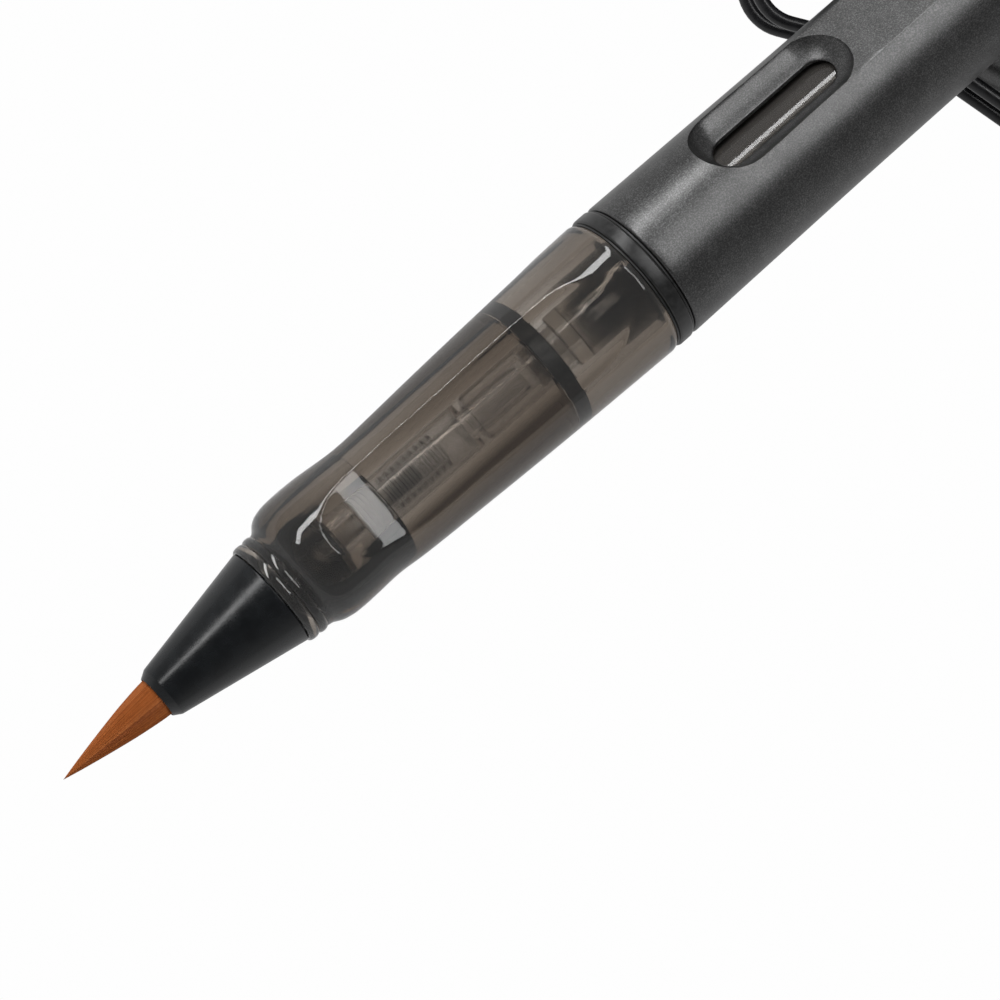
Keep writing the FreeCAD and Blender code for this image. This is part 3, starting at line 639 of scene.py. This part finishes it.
def barrel_skin(turn, z):
    """Radius of the barrel's outside: round, with a flat face on each side behind the windows."""
    turn = np.asarray(turn, float)
    radius = np.full(turn.shape, barrel_round(z))
    if z > FACE_FROM:
        floor = FACE / np.maximum(np.abs(np.cos(turn)), 0.05)
        radius = soft_min(radius, floor, 0.045)
    return radius


def barrel_turns(z):
    """Column turns of a row, with columns gathered at the edges of the two side faces."""
    edge = face_turn(z)
    near = np.array([0, 0.004, 0.010, 0.022, 0.045])
    turns = []
    for start in (0, math.pi):
        inner = np.linspace(-1, 1, FACE_SEGMENTS + 1)[1:-1]
        gathered = np.concatenate([[-1], -1 + near[1:] / edge, inner[1:-1], 1 - near[:0:-1] / edge])
        turns.append(start + edge * gathered)
        side = np.linspace(near[-1], math.pi - 2 * edge - near[-1], SIDE_SEGMENTS)
        span = np.concatenate([near[:-1], side, (math.pi - 2 * edge) - near[:0:-1]])
        turns.append(start + edge + span)
    return np.concatenate(turns)


def barrel_rows():
    rows = [BARREL_LOW + k for k in (0, 0.02, 0.06, 0.12, 0.18, MOUTH_ROUND)]
    rows += list(np.arange(61.4, 67.7, 0.8))
    rows += list(np.linspace(WINDOW_LOW, WINDOW_HIGH, 66))
    rows += list(np.arange(86.8, 129.0, 1.2))
    return rows + [BARREL_REAR, 129.4, 129.55, 129.7, 129.82, 129.91, 129.97, BARREL_HIGH]


def window_patch(centre, border):
    """Fan directions that tie each border point of a window to a place on a round-ended slot."""
    low, high = WINDOW_LOW + WINDOW_BEND, WINDOW_HIGH - WINDOW_BEND
    fans = []
    for turn, z in border:
        share = min(1.0, max(0.0, (z - low) / (high - low)))
        across = WINDOW_REACH * math.sin(turn - centre)
        along = z - (low + share * (high - low))
        length = math.hypot(across, along)
        fans.append((share, across / length, along / length))
    return fans


def on_stadium(fan, low, high, half):
    """Place of a fan direction on a slot with round ends, as (across, height up the pen)."""
    share, across, along = fan
    middle = low + half + share * (high - low - 2 * half)
    return across * half, middle + along * half


def skin_height(across, z):
    """How far the barrel's skin is from its axis, this far across from a window's middle."""
    height = math.sqrt(barrel_round(z) ** 2 - across**2)
    return min(FACE, height) if z > FACE_FROM else height


def barrel_data():
    """The barrel's skin, its bore, and the windows that join the two."""
    rows = barrel_rows()
    verts, faces = [], []
    middle_turns = barrel_turns(80.0)
    columns = len(middle_turns)
    for z in rows:
        turns = barrel_turns(z)
        radii = barrel_skin(turns, z)
        verts += [(r * math.cos(t), r * math.sin(t), z) for r, t in zip(radii, turns)]
    first = min(i for i, z in enumerate(rows) if z > WINDOW_LOW - 0.01)
    last = max(i for i, z in enumerate(rows) if z < WINDOW_HIGH + 0.01)
    face_columns = next(i for i, t in enumerate(middle_turns) if t > face_turn(80.0) - 1e-9)
    windows = [(0, 0.0), (columns // 2, math.pi)]

    def in_window(i, j, window_first, window_last):
        return window_first <= i < window_last and any(
            s <= j < s + face_columns for s, _ in windows)

    for i in range(len(rows) - 1):
        for j in range(columns):
            if not in_window(i, j, first, last):
                k = (j + 1) % columns
                faces.append((i * columns + j, (i + 1) * columns + j,
                              (i + 1) * columns + k, i * columns + k))
    # inside: wider mouth, step and long bore, with its own openings under the windows
    inner_rows = [(INSERT_BORE, BARREL_LOW), (INSERT_BORE, INSERT_END), (BORE, INSERT_END)]
    inner_first = len(inner_rows)
    inner_last = inner_first + last - first
    inner_rows += [(BORE, z) for z in np.linspace(BORE_WINDOW_LOW, BORE_WINDOW_HIGH,
                                                  last - first + 1)]
    inner_rows += [(BORE, 100), (BORE, 129.9), (4.1, BARREL_HIGH)]
    inner_start = len(verts)
    for radius, z in inner_rows:
        verts += [(radius * math.cos(t), radius * math.sin(t), z) for t in middle_turns]
    for i in range(len(inner_rows) - 1):
        for j in range(columns):
            if not in_window(i, j, inner_first, inner_last):
                k = (j + 1) % columns
                a = inner_start + i * columns
                faces.append((a + j, a + k, a + columns + k, a + columns + j))
    for j in range(columns):
        k = (j + 1) % columns
        faces.append((j, k, inner_start + k, inner_start + j))
        a, b = (len(rows) - 1) * columns, inner_start + (len(inner_rows) - 1) * columns
        faces.append((a + j, b + j, b + k, a + k))
    # windows: from the skin over a rounded rim, down a bevel, through a slot, to the bore
    for start, centre in windows:
        loop = [(i, start) for i in range(first, last)]
        loop += [(last, start + j) for j in range(face_columns)]
        loop += [(i, start + face_columns) for i in range(last, first, -1)]
        loop += [(first, start + j) for j in range(face_columns, 0, -1)]
        border = [(float(barrel_turns(rows[i])[j]), rows[i]) for i, j in loop]
        fans = window_patch(centre, border)
        rings = [[i * columns + j for i, j in loop]]
        side = -1 if centre else 1

        def add_ring(points):
            rings.append(list(range(len(verts), len(verts) + len(points))))
            verts.extend((side * height, side * across, z) for across, z, height in points)

        def blend_to(points, share):
            """Points on the skin part of the way from the rim to the border."""
            out = []
            for (across, z), (turn, border_z) in zip(points, border):
                height = skin_height(across, z)
                here = math.atan2(across, height)
                at = here + (turn - centre - here) * share
                level = z + (border_z - z) * share
                radius = barrel_round(level)
                if level > FACE_FROM:
                    radius = min(radius, FACE / math.cos(at))
                out.append((radius * math.sin(at), level, radius * math.cos(at)))
            return out

        rim = [on_stadium(f, RIM_LOW, RIM_HIGH, RIM_HALF) for f in fans]
        for share in (0.7, 0.4, 0.18, 0.06):
            add_ring(blend_to(rim, share))
        # rounded rim, bevel wall and slot, as (share of the way in, share of the depth)
        slot = [on_stadium(f, SLOT_LOW, SLOT_HIGH, SLOT_HALF) for f in fans]
        profile = [(0.0, 0.0), (0.012, 0.035), (0.035, 0.09), (0.10, 0.20), (0.25, 0.40),
                   (0.45, 0.62), (0.68, 0.80), (0.88, 0.93), (0.965, 0.975), (1.0, 1.02)]
        for inward, depth in profile:
            points = []
            for (ra, rz), (sa, sz) in zip(rim, slot):
                top = skin_height(ra, rz)
                points.append((ra + (sa - ra) * inward, rz + (sz - rz) * inward,
                               top + (SLOT_FLOOR - top) * depth))
            add_ring(points)
        add_ring([(a, z, min(SLOT_FLOOR - 0.06, math.sqrt(BORE**2 - a * a) + 0.02))
                  for a, z in slot])
        add_ring([(a, z, math.sqrt(BORE**2 - a * a)) for a, z in slot])
        rings.append([inner_start + (inner_first + i - first) * columns + j for i, j in loop])
        count = len(loop)
        for outer, inner in zip(rings[:-1], rings[1:]):
            faces.extend((outer[n], inner[n], inner[(n + 1) % count], outer[(n + 1) % count])
                         for n in range(count))
    return verts, faces


make_piece("barrel_tube", barrel_data(), BARREL, "barrel", METAL, ["barrel_shell"], 42)
INSERT = filleted([(5.36, 60.62), (5.74, 60.62, 0.05), (5.74, 68.38), (5.36, 68.38)])
make_piece("barrel_insert", lathe_data(INSERT, 96, closed=True), BARREL, "barrel",
           MATTE, ["barrel_thread_insert"])
END_PLUG = filleted([(0, 124), (3.98, 124, 0.3), (3.98, 129.98), (5.58, 129.98, 0.12),
                     (5.58, 131.3, 0.4), (4.68, 132.9, 0.5), (0, 133.38)])
make_piece("barrel_end", lathe_data(END_PLUG, 160), BARREL, "barrel", MATTE,
           ["barrel_end_plug"])


# ------------------------------------------------------------------ ink converter
FLUTE_LOW, FLUTE_HIGH = 101.9, 112.4
FLUTES, FLUTE_DEPTH = 12, 0.42


def knob_flutes(turns, radius, height):
    """Ripple that cuts grooves along the knob's side."""
    if radius < 3.2 or not FLUTE_LOW < height < FLUTE_HIGH:
        return np.zeros(len(turns))
    return -FLUTE_DEPTH * np.clip(np.cos(turns * FLUTES) - 0.15, 0, 1)


KNOB = [(0, 101.25), (3.3, 101.25, 0.2), (3.68, 101.7, 0.2), (3.68, 101.88), (3.68, 101.95),
        (3.68, 105), (3.68, 109), (3.68, 112.35), (3.68, 112.45), (3.4, 112.98, 0.3), (0, 113)]
make_piece("knob_grip", lathe_data(filleted(KNOB), 240, knob_flutes), PEN, "knob",
           MATTE, ["converter_knob"])
TUBE = filleted([(1.1, 47.8), (2.57, 47.8, 0.1), (2.57, 51.02), (3.62, 51.02, 0.25), (3.62, 52.6),
                 (3.62, 53.8), (3.62, 55.0), (3.62, 66.0), (3.62, 69.0), (3.62, 98), (2.92, 98),
                 (2.92, 69.0), (2.92, 66.0), (2.92, 55.0), (2.92, 53.8),
                 (2.92, 52.4, 0.3), (1.1, 52.4)])
tube_data = lathe_data(TUBE, 120, closed=True)
ink_tube = make_piece("ink_tube", tube_data, PEN, "converter", CLEAR, ["converter_tube"])
INKED_AT, INKED = (52.6, 55.0, 66.0, 69.0), (0.0, 1.0, 1.0, 0.68)      # how dark the tube is
set_tone(ink_tube, [float(np.interp(z, INKED_AT, INKED)) for _, _, z in tube_data[0]])
STEM = [(1.02, 66.02), (1.58, 66.02, 0.1), (1.58, 74, 0.1), (1.42, 74.2), (1.42, 89.4, 0.1),
        (1.02, 89.5)]
# The rod's white front stretch is a painted highlight. It stands in for light on the lower part of the clear tube
# seen in the window; the rod is dark behind it.
PAINTED_HIGHLIGHT_END = 74.1      # the rod is white up to here and dark behind
stem_finish = Finish("finish_stem_painted_highlight", Roughness=0.4)
stem_finish.vary_colour(stem_finish.tone(), [(0.0, (0.70, 0.69, 0.67)), (1.0, grey(0.05))])
stem_data = lathe_data(filleted(STEM), 96, closed=True)
stem = make_piece("piston_rod", stem_data, PEN, "piston", stem_finish.material,
                  ["piston_stem"])
set_tone(stem, [1.0 if z > PAINTED_HIGHLIGHT_END else 0.0 for _, _, z in stem_data[0]])

# ------------------------------------------------------------------ inside the grip
FROST_R = 3.02
FROSTED = [(1.45, 29.75), (FROST_R, 29.75, 0.1)]
for groove in (30.1, 30.5, 30.9, 31.3):
    FROSTED += [(FROST_R, groove, 0.04), (FROST_R - 0.12, groove + 0.1, 0.06),
                (FROST_R, groove + 0.2, 0.04)]
FROSTED += [(FROST_R, 32.2, 0.08), (1.45, 32.2)]
make_piece("frosted_band", lathe_data(filleted(FROSTED), 120, closed=True), PEN, "grip",
           FROST, ["frosted_ring"])
SEAL = filleted([(3.27, 48.62), (4.26, 48.62, 0.1), (4.26, 50.05, 0.1), (3.27, 50.05)])
make_piece("seal_band", lathe_data(SEAL, 120, closed=True), PEN, "grip", RUBBER,
           ["seal_ring"])

# parts of the frame that keep their shape and get a finish
for finish, nodes in ((RESIN, ["tuft_root_plug"]), (FIBRE, ["ink_feed"]),
                      (MATTE, ["ferrule_sleeve", "drive_nut", "cap_liner", "clip_holder"]),
                      (SMOKE_INNER, ["feed_housing", "buffer_comb", "ink_nipple",
                                     "converter_mouth"]),
                      (STEEL, ["converter_band", "drive_screw"]),
                      (WHITE, ["piston_head"]), (RUBBER, ["piston_seal"])):
    for node in nodes:
        slots = frame["nodes"][node].data.materials
        slots.clear()
        slots.append(finish)


# ------------------------------------------------------------------ cap
CAP_SHELL = filleted([(6.86, 0.0), (7.04, 0.0), (7.24, 0.2), (7.24, 52.0, 60), (7.16, 65.0, 0.6),
                      (6.9, 66.5, 0.15), (6.86, 66.5)])


def cut_by(piece, matrix, low, high):
    """Take a box, given by two corners in a local frame, out of a piece."""
    (x0, y0, z0), (x1, y1, z1) = low, high
    corners = [(x, y, z) for x in (x0, x1) for y in (y0, y1) for z in (z0, z1)]
    sides = [(0, 1, 3, 2), (4, 6, 7, 5), (0, 4, 5, 1), (2, 3, 7, 6), (0, 2, 6, 4), (1, 5, 7, 3)]
    mesh = bpy.data.meshes.new("cutter")
    mesh.from_pydata([matrix @ (Vector(v) * MM) for v in corners], [], sides)
    cutter = bpy.data.objects.new("cutter", mesh)
    bpy.context.scene.collection.objects.link(cutter)
    modifier = piece.modifiers.new("slot", "BOOLEAN")
    modifier.operation = "DIFFERENCE"
    modifier.solver = "EXACT"
    modifier.object = cutter
    bpy.context.view_layer.update()
    made = piece.evaluated_get(bpy.context.evaluated_depsgraph_get())
    result = bpy.data.meshes.new_from_object(made)
    piece.modifiers.clear()
    piece.data = result
    result.shade_smooth()
    result.set_sharp_from_angle(angle=math.radians(35))
    bpy.data.objects.remove(cutter)


CLIP_SLOT = (4.0, -3.6, 62.3), (9.0, 3.6, 65.8)    # two corners of the clip's way out
shell = make_piece("cap_body", lathe_data(CAP_SHELL, 240, closed=True), CAP, "cap",
                   METAL, ["cap_shell"])
cut_by(shell, CAP, *CLIP_SLOT)
FINIAL = filleted([(0, 63.2), (1.47, 63.2), (1.47, 66.5), (6.88, 66.52, 0.1), (6.88, 68.3, 0.3),
                   (6.2, 69.0, 0.35), (4.5, 69.0, 0.15), (3.9, 68.6, 0.3), (0, 68.6)])
make_piece("cap_top", lathe_data(FINIAL, 200), CAP, "cap", MATTE, ["cap_finial"])


CLIP_HALF_GAP = 2.5        # of each strand from the clip's middle
WIRE_RADIUS = 0.615


def clip_path():
    """Centre line of the clip's wire, as in the frame: two strands and a round turn."""
    gap = CLIP_HALF_GAP
    run = filleted([(2.5, 64.2), (12.92, 64.2, 7.2), (7.98, 46.1, 12.0), (9.55, 28.5)], 14)
    dense = []
    for (a, b), (c, d) in zip(run[:-1], run[1:]):
        count = max(1, int(math.hypot(c - a, d - b)))
        dense += [(a + (c - a) * k / count, b + (d - b) * k / count) for k in range(count)]
    dense.append(run[-1])
    slope = Vector((dense[-1][0] - dense[-2][0], dense[-1][1] - dense[-2][1])).normalized()
    path = [(x, gap, z) for x, z in dense]
    for k in range(1, 18):
        a = math.pi * k / 18
        x = dense[-1][0] + slope.x * gap * math.sin(a)
        z = dense[-1][1] + slope.y * gap * math.sin(a)
        path.append((x, gap * math.cos(a), z))
    return path + [(x, -gap, z) for x, z in reversed(dense)]


make_piece("clip_wire", swept_wire(clip_path(), WIRE_RADIUS, 20), CAP, "clip",
           WIRE, ["cap_clip"], 60)


# ------------------------------------------------------------------ studio
LIT_POINT = 0.06           # metres up the pen, where the lights point


def softbox(name, turn, distance, lead, size, watts, skew=0.0):
    """Area light that points at the pen.

    turn is in degrees round the pen from straight above it towards +Y, distance and size are in
    metres, lead leans it towards the pen's rear, and skew turns it about its own axis in degrees.
    """
    angle = math.radians(turn)
    towards = (pen_x * math.cos(angle) + Vector((0, math.sin(angle), 0)) + pen_z * lead)
    towards.normalize()
    lamp = bpy.data.lights.new(name, "AREA")
    lamp.shape = "RECTANGLE"
    lamp.size, lamp.size_y = size
    lamp.energy = watts
    light = bpy.data.objects.new(name, lamp)
    bpy.context.scene.collection.objects.link(light)
    x_axis = towards.cross(pen_z).cross(towards).normalized()
    place = axes_matrix(x_axis, towards.cross(x_axis), towards,
                        tip + pen_z * LIT_POINT + towards * distance)
    light.matrix_world = place @ Matrix.Rotation(math.radians(skew), 4, "Z")


softbox("key_strip", 49, 0.60, 0.20, (0.9, 0.09), 2.7, 27)
softbox("top_soft", -1, 0.75, 0.42, (0.19, 0.58), 1.85)

# the room is dimmest overhead, and is seen as plain near-white
world = bpy.data.worlds.new("studio")
bpy.context.scene.world = world
world.use_nodes = True
world.node_tree.nodes.clear()
world_out, room, backdrop, choice, sky_ray, direction, split, fade = (
    world.node_tree.nodes.new("ShaderNode" + kind) for kind in (
        "OutputWorld", "Background", "Background", "MixShader", "LightPath", "TexCoord",
        "SeparateXYZ", "ValToRGB"))
for height in (0.25, 0.55):
    fade.color_ramp.elements.new(height)
for element, value in zip(fade.color_ramp.elements, (0.42, 0.42, 0.22, 0.07)):
    element.color = (*grey(value), 1)
backdrop.inputs["Color"].default_value = (*grey(0.97), 1)
for source, target in ((direction.outputs["Generated"], split.inputs["Vector"]),
                       (split.outputs["Z"], fade.inputs["Fac"]),
                       (fade.outputs["Color"], room.inputs["Color"]),
                       (sky_ray.outputs["Is Camera Ray"], choice.inputs["Fac"]),
                       (room.outputs["Background"], choice.inputs[1]),
                       (backdrop.outputs["Background"], choice.inputs[2]),
                       (choice.outputs["Shader"], world_out.inputs["Surface"])):
    world.node_tree.links.new(source, target)

REACH = 4.0                # metres from the middle to each side of the floor
FLOOR_GAP = 0.00002        # metres between the floor and the object
floor_mesh = bpy.data.meshes.new("floor")
floor_mesh.from_pydata([(-REACH, -REACH, 0), (REACH, -REACH, 0), (REACH, REACH, 0),
                        (-REACH, REACH, 0)], [], [(0, 1, 2, 3)])
floor = bpy.data.objects.new("floor", floor_mesh)
bpy.context.scene.collection.objects.link(floor)
floor.location.z = cad_low.z - FLOOR_GAP
floor_finish = Finish("finish_floor", Roughness=0.9, Specular_IOR_Level=0.1)
paper = floor_finish.noise(0.05, 2.0)
floor_finish.vary_colour(paper, [(0.3, grey(0.30)), (0.7, grey(0.32))])
floor_finish.shader.inputs["Emission Color"].default_value = (1, 1, 1, 1)
floor_finish.shader.inputs["Emission Strength"].default_value = 0.42
seen = floor_finish.node("ShaderNodeEmission")
seen.inputs["Color"].default_value = (*grey(0.99), 1)
ray = floor_finish.node("ShaderNodeLightPath")
by_ray = floor_finish.node("ShaderNodeMixShader")
floor_finish.link(ray, "Is Camera Ray", by_ray, 0)
floor_finish.link(floor_finish.shader, "BSDF", by_ray, 1)
floor_finish.link(seen, "Emission", by_ray, 2)
floor_finish.link(by_ray, "Shader", floor_finish.out, "Surface")
floor_mesh.materials.append(floor_finish.material)

# ------------------------------------------------------------------ camera
LENS, SENSOR = 132.05, 36  # millimetres
CAMERA_DISTANCE = 0.287    # metres to what it points at
AIM_ALONG, AIM_RIGHT, AIM_DOWN = 39.8, 4.045, 4.617        # millimetres from the tip to that
camera_data = bpy.data.cameras.new("camera")
camera_data.lens = LENS
camera_data.sensor_width = SENSOR
camera_data.clip_start, camera_data.clip_end = 0.01, 20
camera = bpy.data.objects.new("camera", camera_data)
bpy.context.scene.collection.objects.link(camera)
view = Vector((0.37542, 0, -0.92686)).normalized()
right = Vector((0.69332, -0.66366, 0.28083)).normalized()
up = right.cross(view)
aim = tip + pen_z * AIM_ALONG * MM + right * AIM_RIGHT * MM - up * AIM_DOWN * MM
camera.matrix_world = axes_matrix(right, up, -view, aim - view * CAMERA_DISTANCE)
bpy.context.scene.camera = camera
bpy.context.scene.view_settings.view_transform = "Standard"
